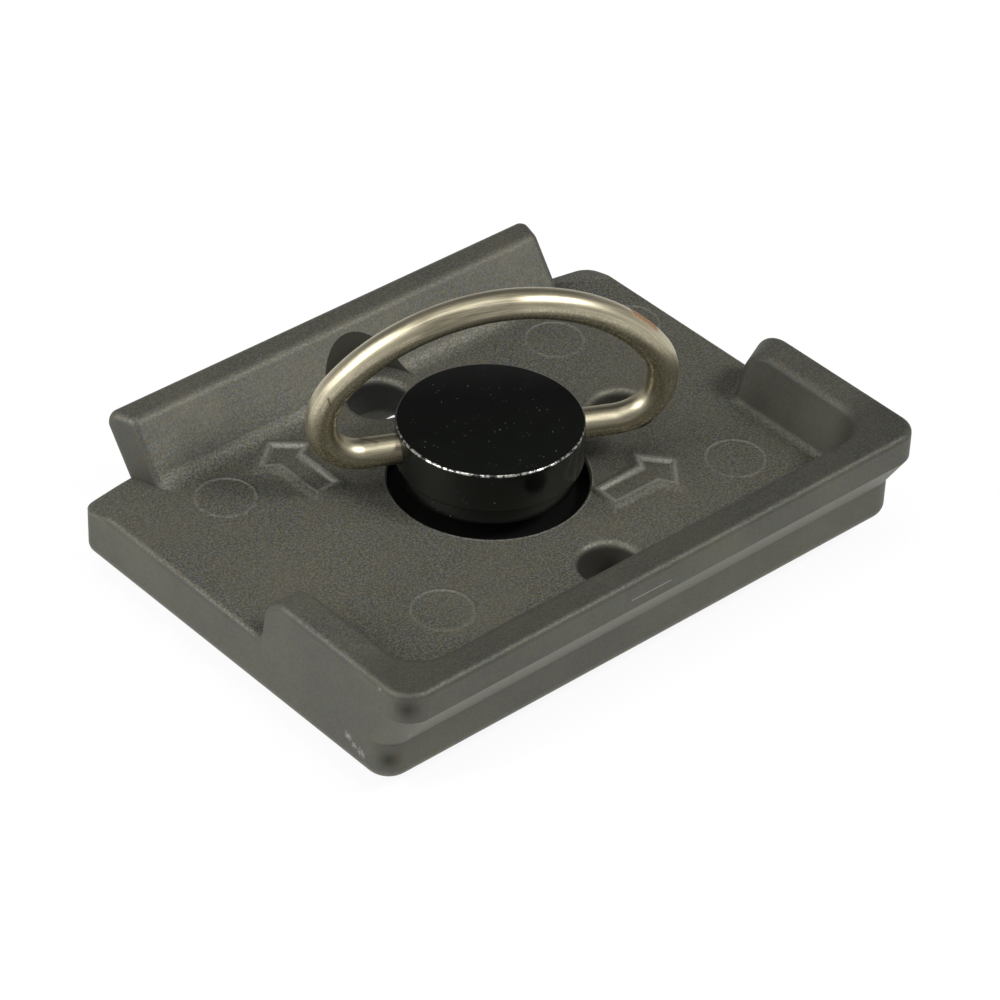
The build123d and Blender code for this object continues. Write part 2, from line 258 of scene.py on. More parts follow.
def painted_shade(tree, place, colour):
    """A colour with painted shade: darkened in corners, nearly black inside the counterbore and the pin hole
    below the floor, and darkened in two spots at the front left corner.
    """
    # Painted shade: the colour goes toward its shade where a corner closes in over it.
    open_corner = node(tree, "AmbientOcclusion", {"Distance": CORNER_REACH}, **OCCLUSION)
    corner_shade = span(tree, open_corner.outputs["AO"], *CORNER_OPEN, 0.0, CORNER_SHARE)
    colour = tint(tree, corner_shade, colour, CAST_SHADE)
    # Painted shade: inside each hole, below the floor's level, the colour goes nearly black.
    below = span(tree, component(tree, place, "Z"), *HOLE_SHADE_LEVELS)
    for centre, radius, share in SHADED_HOLES:
        radii = ((radius + HOLE_SHADE_FADE) * MM, radius * MM)
        inside = span(tree, out_from(tree, place, centre), *radii, 0.0, share)
        colour = tint(tree, times(tree, inside, below), colour, CAST_HOLE_SHADE)
    # Painted shade: two dark spots on the rounded front left corner.
    for centre, radius in SHADE_SPOTS:
        spot_shade = times(tree, blot(tree, place, centre, radius), SHADE_SPOT_SHARE)
        colour = tint(tree, spot_shade, colour, CAST_SPOT_SHADE)
    return colour


def wear_and_glint(tree, place, grain, wear):
    """How far each place is rubbed to bare alloy, from 0 to 1, broken up by the grain, with one painted
    highlight.

    It is the most of thin edges, marked crests, scratches and chips, and of a painted highlight: a thin pale
    ring on the front of the counterbore's rim.
    """
    gritty = span(tree, grain, *RUB_GRAIN, RUB_LEAST, 1.0)
    thin_edge = node(tree, "AmbientOcclusion", {"Distance": EDGE_REACH}, inside=True, **OCCLUSION)
    edge = times(tree, span(tree, thin_edge.outputs["AO"], *EDGE_THIN, 0.0, wear), gritty)
    crest = node(tree, "Attribute", attribute_name="crest").outputs["Fac"]
    rubbed = most(tree, edge, times(tree, crest, gritty))
    # A painted highlight: a thin pale ring just outside the counterbore's front rim; from here the rubbed
    # mask carries it as well as wear.
    radius = out_from(tree, place, COUNTERBORE_MIDDLE)
    rim_glint = times(tree, span(tree, radius, *GLINT_RISE), span(tree, radius, *GLINT_FALL))
    rim_glint = times(tree, rim_glint, span(tree, component(tree, place, "Y"), *GLINT_FRONT, 0.0, GLINT_SHARE))
    rubbed = most(tree, rubbed, times(tree, rim_glint, span(tree, grain, *GLINT_GRAIN)))
    for start, end, width in SCRATCHES:
        rubbed = most(tree, rubbed, stroke(tree, place, start, end, width))
    broken = span(tree, grain, *CHIP_GRAIN)
    for centre, radius in CHIPS:
        rubbed = most(tree, rubbed, times(tree, blot(tree, place, centre, radius), broken))
    return rubbed


def make_casting(name, wear):
    """Blasted casting: speckled grain over warm and cool patches, pale on rubbed edges, with painted shade
    and light.

    The grain is strongest on the floor, which is as cast, and softer on the rails, which are held in use, and
    on the sides.
    Shade is painted in its corners, holes, two spots, front rail's top and sides, light on faces that look
    down, and a highlight at the counterbore's front rim.
    """
    made, tree, shader, place = start_material(name)
    upward = component(tree, node(tree, "TexCoord").outputs["Normal"], "Z")
    level = component(tree, place, "Z")
    grain = noise(tree, place, **CAST_GRAIN)
    coarse = times(tree, span(tree, level, *RAIL_LEVELS, 1.0, RAIL_GRAIN), span(tree, upward, *FACE_UP))
    colour = painted_shade(tree, place, cast_skin(tree, place, grain, coarse, upward))
    colour = tint(tree, wear_and_glint(tree, place, grain, wear), colour, CAST_WORN)
    # Painted shade: the front rail's upward faces are darkened.
    front_top_shade = times(tree, span(tree, level, *FRONT_TOP_SHADE_LEVELS), span(tree, upward, *FRONT_TOP_SHADE_FACING))
    front = span(tree, component(tree, place, "Y"), *FRONT_TOP_SHADE_REACH, 0.0, FRONT_TOP_SHADE_SHARE)
    colour = tint(tree, times(tree, front_top_shade, front), colour, CAST_SHADE)
    roughness = span(tree, grain, *GRAIN_GLOSS, *CAST_ROUGHNESS)
    relief = span(tree, coarse, 0.0, 1.0, *GRAIN_RELIEF)
    dress(tree, shader, colour, roughness, grain, relief, GRAIN_DEPTH)
    shader.inputs["Metallic"].default_value = CAST_METAL
    return made


frame["nodes"]["plate_body"].data.materials[0] = make_casting("blasted_casting", BODY_WEAR)

# Two plain arrows and five round witness marks are cast into the floor as low ridges.
# An arrow's outline falls steeply inward and gently outward, so that it looks sunk; the rings are where the
# mould's push-out pins left their rims. Their crests are rubbed paler than the floor they stand on.
COVE_TOE = 13.79 * MM
COVE_RADIUS = 2.0 * MM
RIDGE_STEPS = 15
RIDGE_SINK = 0.1 * MM
RIDGE_EDGE_WEAR = 0.0
CREST_FALL = 4
ARROW_TIPS = ((12.7, -7.82, 0.0), (-10.85, 13.95, 90.0))
ARROW_LENGTH = 7.3 * MM
ARROW_HEAD = 1.95 * MM
ARROW_NECK = 2.75 * MM
ARROW_HEAD_HALF = 2.35 * MM
ARROW_SHAFT_HALF = 1.08 * MM
ARROW_RIDGE = {"inner": 0.5 * MM, "outer": 1.0 * MM, "height": 0.26 * MM, "pale": 0.55}
PIN_MARKS = ((-17.7, 10.8), (-13.7, -10.4), (16.8, -10.5), (16.5, 10.6), (23.0, 8.5))
PIN_MARK_RADIUS = 2.45 * MM
PIN_MARK_RIDGE = {"inner": 0.25 * MM, "outer": 0.25 * MM, "height": 0.05 * MM, "pale": 0.22}
PIN_MARK_STEPS = 72
SHARP_EDGE = np.radians(35)


def closed_grid(rows, columns, wrap_rows):
    """The corners of the quads of a grid that closes across its columns, and along its rows if asked."""
    row = np.arange(rows if wrap_rows else rows - 1)[:, None]
    column = np.arange(columns)[None, :]
    next_row, next_column = (row + 1) % rows, (column + 1) % columns
    corners = (row * columns + column, next_row * columns + column,
               next_row * columns + next_column, row * columns + next_column)
    return np.stack(np.broadcast_arrays(*corners), axis=-1).reshape(-1, 4)


def add_piece(name, points, faces, body, finish):
    """A mesh object from points and faces, smooth but for its sharp edges, riding on a body."""
    mesh = bpy.data.meshes.new(name)
    mesh.from_pydata(points.tolist(), [], faces)
    mesh.polygons.foreach_set("use_smooth", np.ones(len(mesh.polygons), bool))
    mesh.set_sharp_from_angle(angle=SHARP_EDGE)
    mesh.materials.append(finish)
    piece = bpy.data.objects.new(name, mesh)
    bpy.context.scene.collection.objects.link(piece)
    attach(piece, body)
    return piece


def floor_height(across):
    """The floor's level: flat to the toe of the back rail's cove, then up the cove's hollow arc."""
    into = np.clip(across - COVE_TOE, 0, COVE_RADIUS)
    return FLOOR_LEVEL + COVE_RADIUS - np.sqrt(COVE_RADIUS ** 2 - into ** 2)


def outward_mitre(path):
    """The way out at each point of a closed plan path, long enough that runs keep their width at a corner.

    It is the sum of the normals of the two edges that meet there, divided by one plus their product.
    """
    edge = np.roll(path, -1, axis=0) - path
    edge /= np.linalg.norm(edge, axis=1, keepdims=True)
    normal = np.stack([edge[:, 1], -edge[:, 0]], axis=1)
    before = np.roll(normal, 1, axis=0)
    return (normal + before) / (1 + np.sum(normal * before, axis=1, keepdims=True))


def ridge(path, inner, outer, height, pale):
    """A ridge on a closed plan path: a section carried round it, mitred, with its foot under the floor.

    The section is half a raised cosine up from its inner foot and another down to its outer foot. It keeps
    out of the counterbore, and comes with how pale each point is rubbed: most on the crest, fading inward.
    """
    across = np.concatenate([np.linspace(outer, -inner, RIDGE_STEPS), [-inner, outer]])
    share = np.where(across > 0, across / outer, -across / inner)
    up = height * (1 + np.cos(np.pi * share)) / 2
    up[RIDGE_STEPS:] = -RIDGE_SINK
    plan = path[:, None, :] + outward_mitre(path)[:, None, :] * across[None, :, None]
    plan *= np.maximum(1, COUNTERBORE_EDGE / np.linalg.norm(plan, axis=2, keepdims=True))
    level = floor_height(path[:, 1])[:, None] + up[None, :]
    points = np.concatenate([plan, level[:, :, None]], axis=2).reshape(-1, 3)
    crest = pale * np.clip(1 - np.where(across > 0, CREST_FALL * share, share ** 2), 0, 1)
    return points, closed_grid(len(path), len(across), True).tolist(), np.tile(crest, len(path))


def add_ridge(name, path, section, finish):
    """A ridge as a piece of the plate, with its rubbed crest stored on its points."""
    points, faces, crest = ridge(path, **section)
    piece = add_piece(name, points, faces, "plate", finish)
    piece.data.attributes.new("crest", "FLOAT", "POINT").data.foreach_set("value", crest)


def arrow_path(tip_x, tip_y, turn):
    """The corners of a plain arrow's outline: tip, one side and its mirror image, turned about the tip."""
    side = np.array([
        (-ARROW_HEAD, ARROW_HEAD_HALF), (-ARROW_NECK, ARROW_SHAFT_HALF), (-ARROW_LENGTH, ARROW_SHAFT_HALF),
    ])
    corners = np.concatenate([[(0, 0)], side, side[::-1] * (1, -1)])
    angle = np.radians(turn)
    spin = np.array([(np.cos(angle), -np.sin(angle)), (np.sin(angle), np.cos(angle))])
    return corners @ spin.T + np.array([tip_x, tip_y]) * MM


ridge_casting = make_casting("ridge_casting", RIDGE_EDGE_WEAR)
for number, (tip_x, tip_y, turn) in enumerate(ARROW_TIPS):
    add_ridge(f"cast_arrow_{number + 1}", arrow_path(tip_x, tip_y, turn), ARROW_RIDGE, ridge_casting)
around = np.linspace(0, 2 * np.pi, PIN_MARK_STEPS, endpoint=False)
circle = PIN_MARK_RADIUS * np.stack([np.cos(around), np.sin(around)], axis=1)
for number, centre in enumerate(PIN_MARKS):
    add_ridge(f"pin_mark_{number + 1}", circle + np.array(centre) * MM, PIN_MARK_RIDGE, ridge_casting)

# The pad is a sheet of black rubber glued into the recess under the plate, proud of its rim.
# It is moulded with a fine pebbled face that grips the camera.
RUBBER_DARK = (0.013, 0.013, 0.014, 1)
RUBBER_DUSTY = (0.045, 0.045, 0.046, 1)
RUBBER_ROUGHNESS = (0.55, 0.85)
RUBBER_PEBBLE = 0.55 * MM
PEBBLE_VALLEY = (0.3, 0.7)
PEBBLE_SLOPE = (0.2, 0.7)
PEBBLE_RELIEF = 0.6
PEBBLE_DEPTH = 0.1 * MM
DUST_PATCH = {"size": 4.0 * MM, "detail": 3.0, "roughness": 0.5}


def make_rubber():
    """Matt rubber: close pebbles with dust in the valleys between them."""
    made, tree, shader, place = start_material("pebbled_rubber")
    pebble = node(tree, "TexVoronoi", {"Vector": place, "Scale": 1 / RUBBER_PEBBLE}, feature="SMOOTH_F1")
    fall = pebble.outputs["Distance"]
    dust = times(tree, span(tree, fall, *PEBBLE_VALLEY), noise(tree, place, **DUST_PATCH))
    colour = tint(tree, dust, RUBBER_DARK, RUBBER_DUSTY)
    roughness = span(tree, fall, *PEBBLE_SLOPE, *RUBBER_ROUGHNESS)
    dress(tree, shader, colour, roughness, fall, PEBBLE_RELIEF, PEBBLE_DEPTH, sunk=True)
    return made


frame["nodes"]["rubber_pad"].data.materials[0] = make_rubber()

# The camera screw is turned from steel and blackened: a plain disc head with a cross hole for the ring,
# a boss, and a shank that ends in the camera thread. The head's upper edge is worn to bright steel,
# broken by small nicks, and its faces carry fine specks and smears.
HEAD_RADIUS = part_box("camera_screw")[1].x
HEAD_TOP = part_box("camera_screw")[1].z
HEAD_THICKNESS = 3.5 * MM
HEAD_BASE = HEAD_TOP - HEAD_THICKNESS
HEAD_EDGE = 0.22 * MM
HEAD_EDGE_STEPS = 7
BOSS_RADIUS = 7.0 * MM
BOSS_BASE = 5.95 * MM
SHANK_RADIUS = 3.175 * MM
SHANK_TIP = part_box("camera_screw")[0].z
TIP_CHAMFER = 0.7 * MM
GROOVE_RADIUS = 2.4 * MM
GROOVE_LOW = 2.05 * MM
GROOVE_HIGH = 2.65 * MM
GROOVE_WALL = 0.001 * MM
THREAD_PITCH = 1.27 * MM
THREAD_DEPTH = 0.74 * MM
THREAD_ROWS = 150
TOOTH_SLOPE = 2.7
TOOTH_ROOT = 0.5
TURN_STEPS = 160
CROSS_HOLE_RADIUS = 1.275 * MM
CROSS_HOLE_STEPS = 48
BLACK_STEEL = (0.0034, 0.0040, 0.0033, 1)
BLACK_WORN = (0.010, 0.011, 0.009, 1)
BRIGHT_STEEL = (0.78, 0.76, 0.70, 1)
STEEL_SPECULAR = 0.4
STEEL_ROUGHNESS = (0.17, 0.22)
STEEL_GRAIN = {"size": 0.12 * MM, "detail": 2.0, "roughness": 0.6}
STEEL_RELIEF = 0.08
STEEL_DEPTH = 0.02 * MM
RIM_START = 0.17 * MM
RIM_FULL = 0.08 * MM
RIM_NICK = {"size": 0.45 * MM, "detail": 3.0, "roughness": 0.75}
RIM_NICK_SPREAD = (0.45, 0.6)
HANDLED_SIDE = (-0.67, -0.74, 0.0)
HANDLED_REACH = (0.5 * MM, 4.5 * MM)
SPECK = {"size": 0.18 * MM, "detail": 1.0, "roughness": 0.5}
SPECK_SPREAD = (0.75, 0.83)
SPECK_CLUSTER = {"size": 1.6 * MM, "detail": 1.0, "roughness": 0.5}
CLUSTER_SPREAD = (0.48, 0.6)
SPECK_SHARE = 0.4
SMEAR = {"size": 1.6 * MM, "detail": 4.0, "roughness": 0.65}
SMEAR_SPREAD = (0.5, 0.8)
SMEAR_GLOSS = (0.3, 0.75)
SMEAR_SHARE = 0.15
hinge = next(joint for joint in frame["joints"] if joint["name"] == "ring_fold")
hinge_place = np.array(hinge["pos_m"])
hinge_axis = np.array(hinge["axis"]) / np.linalg.norm(hinge["axis"])


def make_black_steel():
    """Glossy black oxide: near black with faint smears, clusters of pale specks and a bright rubbed edge."""
    made, tree, shader, place = start_material("black_oxide")
    radius = out_from(tree, place, COUNTERBORE_MIDDLE)
    near_rim = span(tree, radius, HEAD_RADIUS - RIM_START, HEAD_RADIUS - RIM_FULL)
    near_top = span(tree, component(tree, place, "Z"), HEAD_TOP - RIM_START, HEAD_TOP - RIM_FULL)
    nicks = span(tree, noise(tree, place, **RIM_NICK), *RIM_NICK_SPREAD)
    held = span(tree, dot(tree, place, HANDLED_SIDE), *HANDLED_REACH)
    bright = times(tree, times(tree, times(tree, near_rim, near_top), nicks), held)
    specks = span(tree, noise(tree, place, **SPECK), *SPECK_SPREAD, 0.0, SPECK_SHARE)
    clusters = span(tree, noise(tree, place, **SPECK_CLUSTER), *CLUSTER_SPREAD)
    bright = most(tree, bright, times(tree, specks, clusters))

    smear = noise(tree, place, **SMEAR)
    colour = tint(tree, span(tree, smear, *SMEAR_SPREAD, 0.0, SMEAR_SHARE), BLACK_STEEL, BLACK_WORN)
    colour = tint(tree, bright, colour, BRIGHT_STEEL)
    roughness = span(tree, smear, *SMEAR_GLOSS, *STEEL_ROUGHNESS)
    fine = noise(tree, place, **STEEL_GRAIN)
    dress(tree, shader, colour, roughness, fine, STEEL_RELIEF, STEEL_DEPTH)
    tree.links.new(bright, shader.inputs["Metallic"])
    shader.inputs["Specular IOR Level"].default_value = STEEL_SPECULAR
    return made


def capped(rows, columns):
    """The faces of a tube made of rings, with a flat face over the first ring and over the last."""
    first = list(range(columns))
    last = list(range((rows - 1) * columns, rows * columns))
    return closed_grid(rows, columns, False).tolist() + [first, last[::-1]]


def lathe(radius, level):
    """A closed turned body: each row of radii and levels spun about the upright axis, with flat ends.

    The radii are one value for each level, or one for each level and turning step. The rings go up and turn
    to the left, so the tube's faces are turned over to look outward.
    """
    turn = np.linspace(0, 2 * np.pi, TURN_STEPS, endpoint=False)
    radius = np.broadcast_to(np.reshape(radius, (len(level), -1)), (len(level), TURN_STEPS))
    level = np.broadcast_to(level[:, None], radius.shape)
    points = np.stack([radius * np.cos(turn), radius * np.sin(turn), level], axis=2).reshape(-1, 3)
    return points, [face[::-1] for face in capped(len(radius), TURN_STEPS)]


def head_profile():
    """Radius and level up the head's side: the boss, then the disc with a small round on each edge."""
    quarter = np.linspace(0, np.pi / 2, HEAD_EDGE_STEPS)
    sine, cosine = HEAD_EDGE * np.sin(quarter), HEAD_EDGE * np.cos(quarter)
    rim, low, high = HEAD_RADIUS - HEAD_EDGE, HEAD_BASE + HEAD_EDGE, HEAD_TOP - HEAD_EDGE
    radius = np.concatenate([[BOSS_RADIUS, BOSS_RADIUS], rim + sine, rim + cosine])
    level = np.concatenate([[BOSS_BASE, HEAD_BASE], low - cosine, high + sine])
    return radius, level


def bore(piece, middle, axis, radius):
    """Takes a round hole right through a piece: two circles square to an axis, joined, past both sides."""
    turn = np.linspace(0, 2 * np.pi, CROSS_HOLE_STEPS, endpoint=False)[:, None]
    beside = np.cross(axis, (0, 0, 1))
    above = np.cross(beside, axis)
    circle = middle + radius * (np.cos(turn) * beside + np.sin(turn) * above)
    points = np.concatenate([circle - 2 * HEAD_RADIUS * axis, circle + 2 * HEAD_RADIUS * axis])
    mesh = bpy.data.meshes.new("drill")
    mesh.from_pydata(points.tolist(), [], capped(2, CROSS_HOLE_STEPS))
    drill = bpy.data.objects.new("drill", mesh)
    bpy.context.scene.collection.objects.link(drill)
    cut = piece.modifiers.new("cross_hole", "BOOLEAN")
    cut.object = drill
    bored = bpy.data.meshes.new_from_object(piece.evaluated_get(bpy.context.evaluated_depsgraph_get()))
    bored.set_sharp_from_angle(angle=SHARP_EDGE)
    piece.modifiers.clear()
    piece.data = bored
    bpy.data.objects.remove(drill)


def thread_radius(level):
    """The shank's radius for each level and turning step.

    A flat-topped tooth one pitch long is carried up by one pitch for each turn. The tip's chamfer cuts it
    off as a cone, and the clip's groove and the plain shank above it are plain steps.
    """
    turn = np.linspace(0, 1, TURN_STEPS, endpoint=False)[None, :]
    phase = (level[:, None] / THREAD_PITCH - turn) % 1.0
    tooth = np.clip(TOOTH_SLOPE * (1 - np.abs(2 * phase - 1)) - TOOTH_ROOT, 0, 1)
    radius = SHANK_RADIUS - THREAD_DEPTH * (1 - tooth)
    cone = SHANK_RADIUS - np.clip(SHANK_TIP + TIP_CHAMFER - level, 0, TIP_CHAMFER)[:, None]
    radius = np.minimum(radius, cone)
    in_groove = ((level > GROOVE_LOW) & (level < GROOVE_HIGH))[:, None]
    above = (level >= GROOVE_HIGH)[:, None]
    return np.where(above, SHANK_RADIUS, np.where(in_groove, GROOVE_RADIUS, radius))


black_steel = make_black_steel()
points, faces = lathe(*head_profile())
head = add_piece("screw_head", points, faces, "screw", black_steel)
bore(head, hinge_place, hinge_axis, CROSS_HOLE_RADIUS)
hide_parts("camera_screw")
levels = np.concatenate([
    np.linspace(SHANK_TIP, GROOVE_LOW, THREAD_ROWS),
    [GROOVE_LOW + GROOVE_WALL, GROOVE_HIGH - GROOVE_WALL, GROOVE_HIGH, BOSS_BASE],
])
points, faces = lathe(thread_radius(levels), levels)
add_piece("screw_thread", points, faces, "screw", black_steel)

# The retaining clip is a flat open ring stamped from spring steel, snapped into the shank's groove.
# It keeps the screw captive in the plate.
CLIP_DARK = (0.10, 0.095, 0.088, 1)
CLIP_LIGHT = (0.24, 0.23, 0.21, 1)
CLIP_METAL = 0.9
CLIP_ROUGHNESS = (0.5, 0.32)
CRYSTAL = {"size": 0.3 * MM, "detail": 4.0, "roughness": 0.6}
CRYSTAL_SPREAD = (0.35, 0.65)
CRYSTAL_GLOSS = (0.3, 0.7)
CRYSTAL_RELIEF = 0.2
CRYSTAL_DEPTH = 0.03 * MM


def make_spring_steel():
    """Phosphated spring steel: dull grey with a fine crystal mottle."""
    made, tree, shader, place = start_material("phosphated_steel")
    crystal = noise(tree, place, **CRYSTAL)
    colour = tint(tree, span(tree, crystal, *CRYSTAL_SPREAD), CLIP_DARK, CLIP_LIGHT)
    roughness = span(tree, crystal, *CRYSTAL_GLOSS, *CLIP_ROUGHNESS)
    dress(tree, shader, colour, roughness, crystal, CRYSTAL_RELIEF, CRYSTAL_DEPTH)
    shader.inputs["Metallic"].default_value = CLIP_METAL
    return made


frame["nodes"]["retaining_clip"].data.materials[0] = make_spring_steel()

# The ring is one length of drawn steel wire, nickel plated, bent to a wide oval with two short feet.
# The feet spring into the head's cross hole, so that it folds; the plating is streaked along the wire,
# tarnished underneath, and rusted through at one spot.
# A patch on the wire's top is darkened and dulled: painted shade where the highlight breaks.
WIRE_RADIUS = 1.225 * MM
RING_LEAN = 8.0
RING_REACH = 13.8 * MM
RING_HALF_WIDTH = 13.65 * MM
RING_BACK_RADIUS = 15.6 * MM
RING_SIDE_RADIUS = 5.4 * MM
RING_FOOT_RADIUS = 3.6 * MM
LEG_DEPTH = 4.6 * MM
LEG_START = HEAD_RADIUS - LEG_DEPTH
WIRE_STEP = 0.2 * MM
WIRE_SIDES = 40
NICKEL_LIGHT = (0.58, 0.53, 0.385, 1)
NICKEL_DARK = (0.37, 0.33, 0.23, 1)
TARNISH = (0.060, 0.053, 0.038, 1)
RUST = (0.20, 0.09, 0.027, 1)
NICKEL_ROUGHNESS = (0.37, 0.65)
STREAK = {"size": 0.2 * MM, "detail": 3.0, "roughness": 0.7}
STREAK_SQUEEZE = (0.04, 1, 1)
STREAK_SPREAD = (0.35, 0.65)
PIT = {"size": 0.2 * MM, "detail": 2.0, "roughness": 0.8}
PIT_RELIEF = 0.15
PIT_DEPTH = 0.03 * MM
TARNISH_PITS = (0.60, 0.44)
TARNISH_FACE = (0.35, -0.6)
TARNISH_SHARES = (0.1, 0.78)
# Painted shade: a streaky dark, dull patch along the top of the wire.
RING_SHADE_RUN = ((-6.5, 0.4, 22.5), (-1.0, -2.7, 23.6), 3.6)
RING_SHADE_STREAK = (0.3, 0.7)
RING_SHADE_SHARES = (0.9, 0.4)
NICKS = (
    ((-13.0, 4.1, 16.35), (-12.9, 3.95, 15.75), 0.4), ((-9.16, 4.72, 10.42), (-8.47, 3.74, 10.37), 0.7),
)
NICK_SHARE = 0.9
RUST_RUN = ((9.0, -6.0, 20.1), (10.6, -6.6, 18.5), 1.3)
RUST_PITS = (0.36, 0.5)
RUST_SHARES = (1.0, 1.6)
RUST_METAL = 0.1


def arc(centre, radius, start, end):
    """Points on a round bend from one angle to another, about one wire step apart, without the last."""
    steps = int(np.ceil(abs(end - start) * radius / WIRE_STEP))
    angle = np.linspace(start, end, steps, endpoint=False)
    return np.array(centre) + radius * np.stack([np.cos(angle), np.sin(angle)], axis=1)


def run(start, end):
    """Points on a straight run from one end to the other, about one wire step apart, without the last."""
    start, end = np.array(start), np.array(end)
    steps = int(np.ceil(np.linalg.norm(end - start) / WIRE_STEP))
    return start + np.linspace(0, 1, steps, endpoint=False)[:, None] * (end - start)


def ring_path():
    """The wire's centre line in the ring's plane: leg, foot bend, side, shoulder and back, then mirrored."""
    foot_x = RING_HALF_WIDTH - RING_FOOT_RADIUS
    side_x = RING_HALF_WIDTH - RING_SIDE_RADIUS
    back_y = RING_REACH - RING_BACK_RADIUS
    side_y = back_y + np.sqrt((RING_BACK_RADIUS - RING_SIDE_RADIUS) ** 2 - side_x ** 2)
    shoulder = np.arctan2(side_y - back_y, side_x)
    half = np.concatenate([
        run((LEG_START, 0), (foot_x, 0)),
        arc((foot_x, RING_FOOT_RADIUS), RING_FOOT_RADIUS, -np.pi / 2, 0),
        run((RING_HALF_WIDTH, RING_FOOT_RADIUS), (RING_HALF_WIDTH, side_y)),
        arc((side_x, side_y), RING_SIDE_RADIUS, 0, shoulder),
        arc((0, back_y), RING_BACK_RADIUS, shoulder, np.pi / 2),
    ])
    return np.concatenate([half, [(0, RING_REACH)], half[::-1] * (-1, 1)])


def ring_surface():
    """A circle carried along the wire's path, with each point's place along and round the wire."""
    path = ring_path()
    ahead = np.gradient(path, axis=0)
    ahead /= np.linalg.norm(ahead, axis=1, keepdims=True)
    turn = np.linspace(0, 2 * np.pi, WIRE_SIDES, endpoint=False)
    outward = np.stack([ahead[:, 1], -ahead[:, 0]], axis=1)
    in_plane = path[:, None, :] + WIRE_RADIUS * np.cos(turn)[None, :, None] * outward[:, None, :]
    off_plane = np.broadcast_to(WIRE_RADIUS * np.sin(turn), in_plane.shape[:2])
    lean = np.radians(90 + RING_LEAN)
    level_back = np.array([-hinge_axis[1], hinge_axis[0], 0])
    reach = np.cos(lean) * level_back + np.sin(lean) * np.array([0, 0, 1])
    facing = np.cross(hinge_axis, reach)
    points = (hinge_place + in_plane[:, :, :1] * hinge_axis + in_plane[:, :, 1:] * reach
              + off_plane[:, :, None] * facing)
    gone = np.concatenate([[0], np.cumsum(np.linalg.norm(np.diff(path, axis=0), axis=1))])
    along = np.broadcast_to(gone[:, None], off_plane.shape)
    place = np.stack([along, np.broadcast_to(WIRE_RADIUS * np.cos(turn), off_plane.shape), off_plane], axis=2)
    return points, place


def make_nickel():
    """Plated wire: streaks drawn out along it, speckled tarnish on its lower side, nicks, one rust run and a
    streaky patch of painted shade on its top.
    """
    made, tree, shader, place = start_material("nickel_wire")
    drawn = node(tree, "Attribute", attribute_name="drawn").outputs["Vector"]
    stretched = node(tree, "Mapping", {"Vector": drawn, "Scale": STREAK_SQUEEZE}).outputs["Vector"]
    streak = noise(tree, stretched, **STREAK)
    pits = noise(tree, place, **PIT)
    upward = component(tree, node(tree, "TexCoord").outputs["Normal"], "Z")
    dull = times(tree, span(tree, pits, *TARNISH_PITS), span(tree, upward, *TARNISH_FACE, *TARNISH_SHARES))
    shade_streaks = span(tree, streak, *RING_SHADE_STREAK, *RING_SHADE_SHARES)
    # Painted shade: a streaky patch on the top of the wire joins the dull mask here.
    dull = most(tree, dull, times(tree, stroke(tree, place, *RING_SHADE_RUN), shade_streaks))
    for start, end, width in NICKS:
        dull = most(tree, dull, times(tree, stroke(tree, place, start, end, width), NICK_SHARE))
    rusted = times(tree, stroke(tree, place, *RUST_RUN), span(tree, pits, *RUST_PITS, *RUST_SHARES))
    colour = tint(tree, span(tree, streak, *STREAK_SPREAD), NICKEL_DARK, NICKEL_LIGHT)
    colour = tint(tree, rusted, tint(tree, dull, colour, TARNISH), RUST)
    roughness = span(tree, most(tree, dull, rusted), 0.0, 1.0, *NICKEL_ROUGHNESS)
    dress(tree, shader, colour, roughness, pits, PIT_RELIEF, PIT_DEPTH)
    tree.links.new(span(tree, rusted, 0.0, 1.0, 1.0, RUST_METAL), shader.inputs["Metallic"])
    return made


points, drawn_place = ring_surface()
faces = capped(*points.shape[:2])
ring = add_piece("wire_ring", points.reshape(-1, 3), faces, "ring", make_nickel())
ring.data.attributes.new("drawn", "FLOAT_VECTOR", "POINT").data.foreach_set("vector", drawn_place.ravel())
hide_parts("ring")

# The set is a white sheet under the part, lit by three soft boxes and by a room that is brightest low down.
# The sheet is white to the eye and in reflections, and keeps a faint shadow under the part.
SHEET_HALF = 3.0
SHEET_WHITE = (0.93, 0.93, 0.93, 1)
SHEET_GLOW = 0.9
SHEET_STRENGTH = 1.0
ROOM_WHITE = (1, 1, 1, 1)
ROOM_HEIGHTS = (0.1, 0.5)
ROOM_STRENGTHS = (0.52, 0.04)
SOFT_BOXES = (
    ("soft_box_key", (0.22, -0.34, 0.44), 0.14, 2.9),
    ("soft_box_left", (-0.21, 0.05, 0.15), 0.15, 0.6),
    ("soft_box_top", (-0.10, -0.05, 0.50), 0.35, 1.2),
)
part_middle = np.array((cad_low + cad_high) / 2)

corner = np.array([(-1, -1), (1, -1), (1, 1), (-1, 1)]) * SHEET_HALF
sheet_points = np.column_stack([corner, np.full(len(corner), cad_low.z)])
sheet_mesh = bpy.data.meshes.new("white_sheet")
sheet_mesh.from_pydata(sheet_points.tolist(), [], [(0, 1, 2, 3)])
sheet = bpy.data.objects.new("white_sheet", sheet_mesh)
bpy.context.scene.collection.objects.link(sheet)
sheet_material = bpy.data.materials.new("white_sheet")
sheet_material.use_nodes = True
tree = sheet_material.node_tree
tree.nodes.remove(tree.nodes["Principled BSDF"])
ray = node(tree, "LightPath").outputs
seen = most(tree, most(tree, ray["Is Camera Ray"], ray["Is Glossy Ray"]), ray["Is Transmission Ray"])
matt = node(tree, "BsdfDiffuse", {"Color": SHEET_WHITE}).outputs["BSDF"]
glow = node(tree, "Emission", {"Strength": SHEET_STRENGTH}).outputs["Emission"]
mixed = node(tree, "MixShader", {0: times(tree, seen, SHEET_GLOW), 1: matt, 2: glow}).outputs["Shader"]
tree.links.new(mixed, tree.nodes["Material Output"].inputs["Surface"])
sheet_mesh.materials.append(sheet_material)

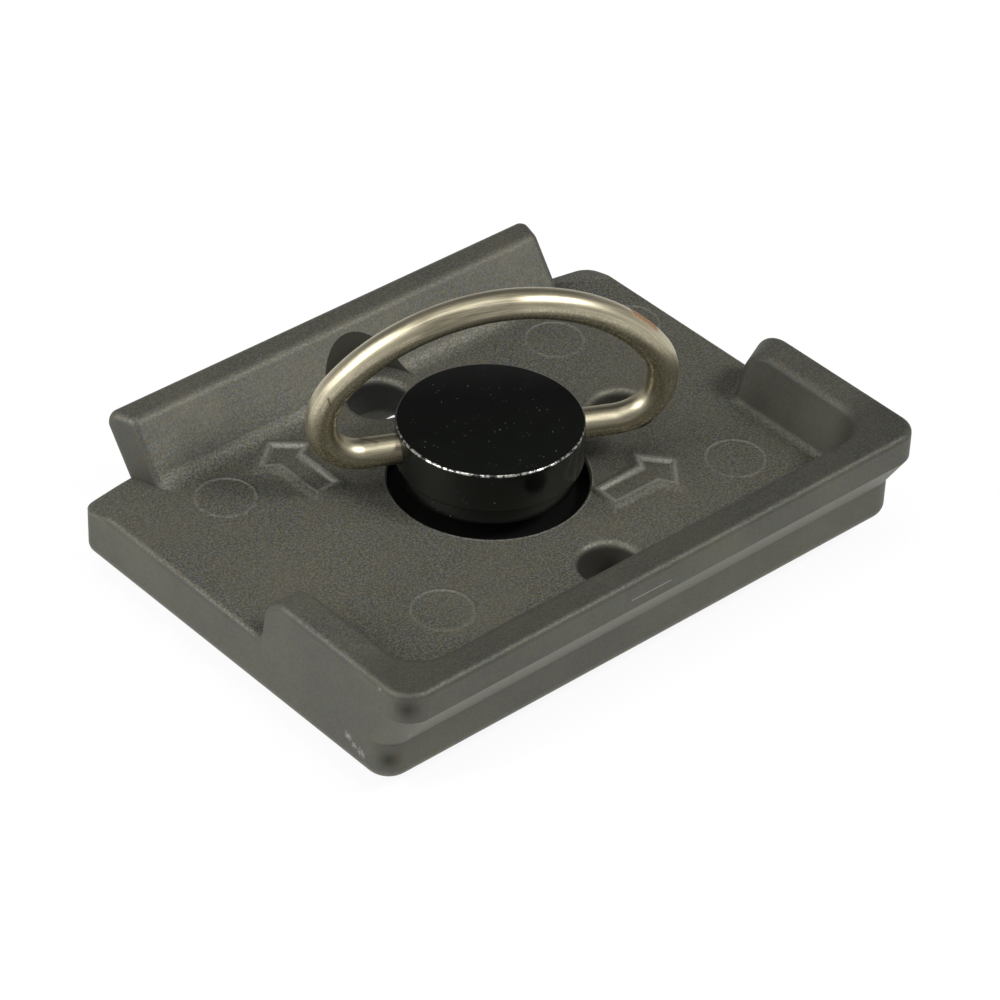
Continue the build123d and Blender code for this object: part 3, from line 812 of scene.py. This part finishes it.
room = bpy.data.worlds.new("soft_room")
bpy.context.scene.world = room
room.use_nodes = True
tree = room.node_tree
background = tree.nodes["Background"]
height = component(tree, node(tree, "TexCoord").outputs["Generated"], "Z")
tree.links.new(span(tree, height, *ROOM_HEIGHTS, *ROOM_STRENGTHS), background.inputs["Strength"])
background.inputs["Color"].default_value = ROOM_WHITE

for name, place, size, power in SOFT_BOXES:
    lamp = bpy.data.lights.new(name, "AREA")
    lamp.size = size
    lamp.energy = power
    box = bpy.data.objects.new(name, lamp)
    bpy.context.scene.collection.objects.link(box)
    box.location = place
    facing = np.array(place) - part_middle
    box.rotation_euler = (np.arctan2(np.hypot(facing[0], facing[1]), facing[2]), 0,
                          np.arctan2(facing[0], -facing[1]))

# The camera stands to the front left of the part and well above it, with a long lens and a slight roll.
# Its small shift frames the part.
VIEW_AZIMUTH = -42.314
VIEW_ELEVATION = 37.597
VIEW_ROLL = 2.062
VIEW_DISTANCE = 333.457 * MM
VIEW_TARGET = np.array([0.0, 1.301, 0.597]) * MM
VIEW_LENS = 151.256
VIEW_SHIFT = (0.02415, 0.01515)
VIEW_CLIP = (0.01, 10.0)

azimuth, elevation, roll = np.radians([VIEW_AZIMUTH, VIEW_ELEVATION, VIEW_ROLL])
back = np.array([
    np.sin(azimuth) * np.cos(elevation), -np.cos(azimuth) * np.cos(elevation), np.sin(elevation),
])
level_right = np.array([np.cos(azimuth), np.sin(azimuth), 0])
level_up = np.cross(back, level_right)
right = np.cos(roll) * level_right + np.sin(roll) * level_up
up = np.cross(back, right)
lens = bpy.data.cameras.new("camera")
lens.lens = VIEW_LENS
lens.shift_x, lens.shift_y = VIEW_SHIFT
lens.clip_start, lens.clip_end = VIEW_CLIP
camera = bpy.data.objects.new("camera", lens)
bpy.context.scene.collection.objects.link(camera)
pose = np.eye(4)
pose[:3, 0], pose[:3, 1], pose[:3, 2] = right, up, back
pose[:3, 3] = VIEW_TARGET + VIEW_DISTANCE * back
camera.matrix_world = Matrix(pose)
bpy.context.scene.camera = camera
bpy.context.scene.view_settings.view_transform = "Standard"
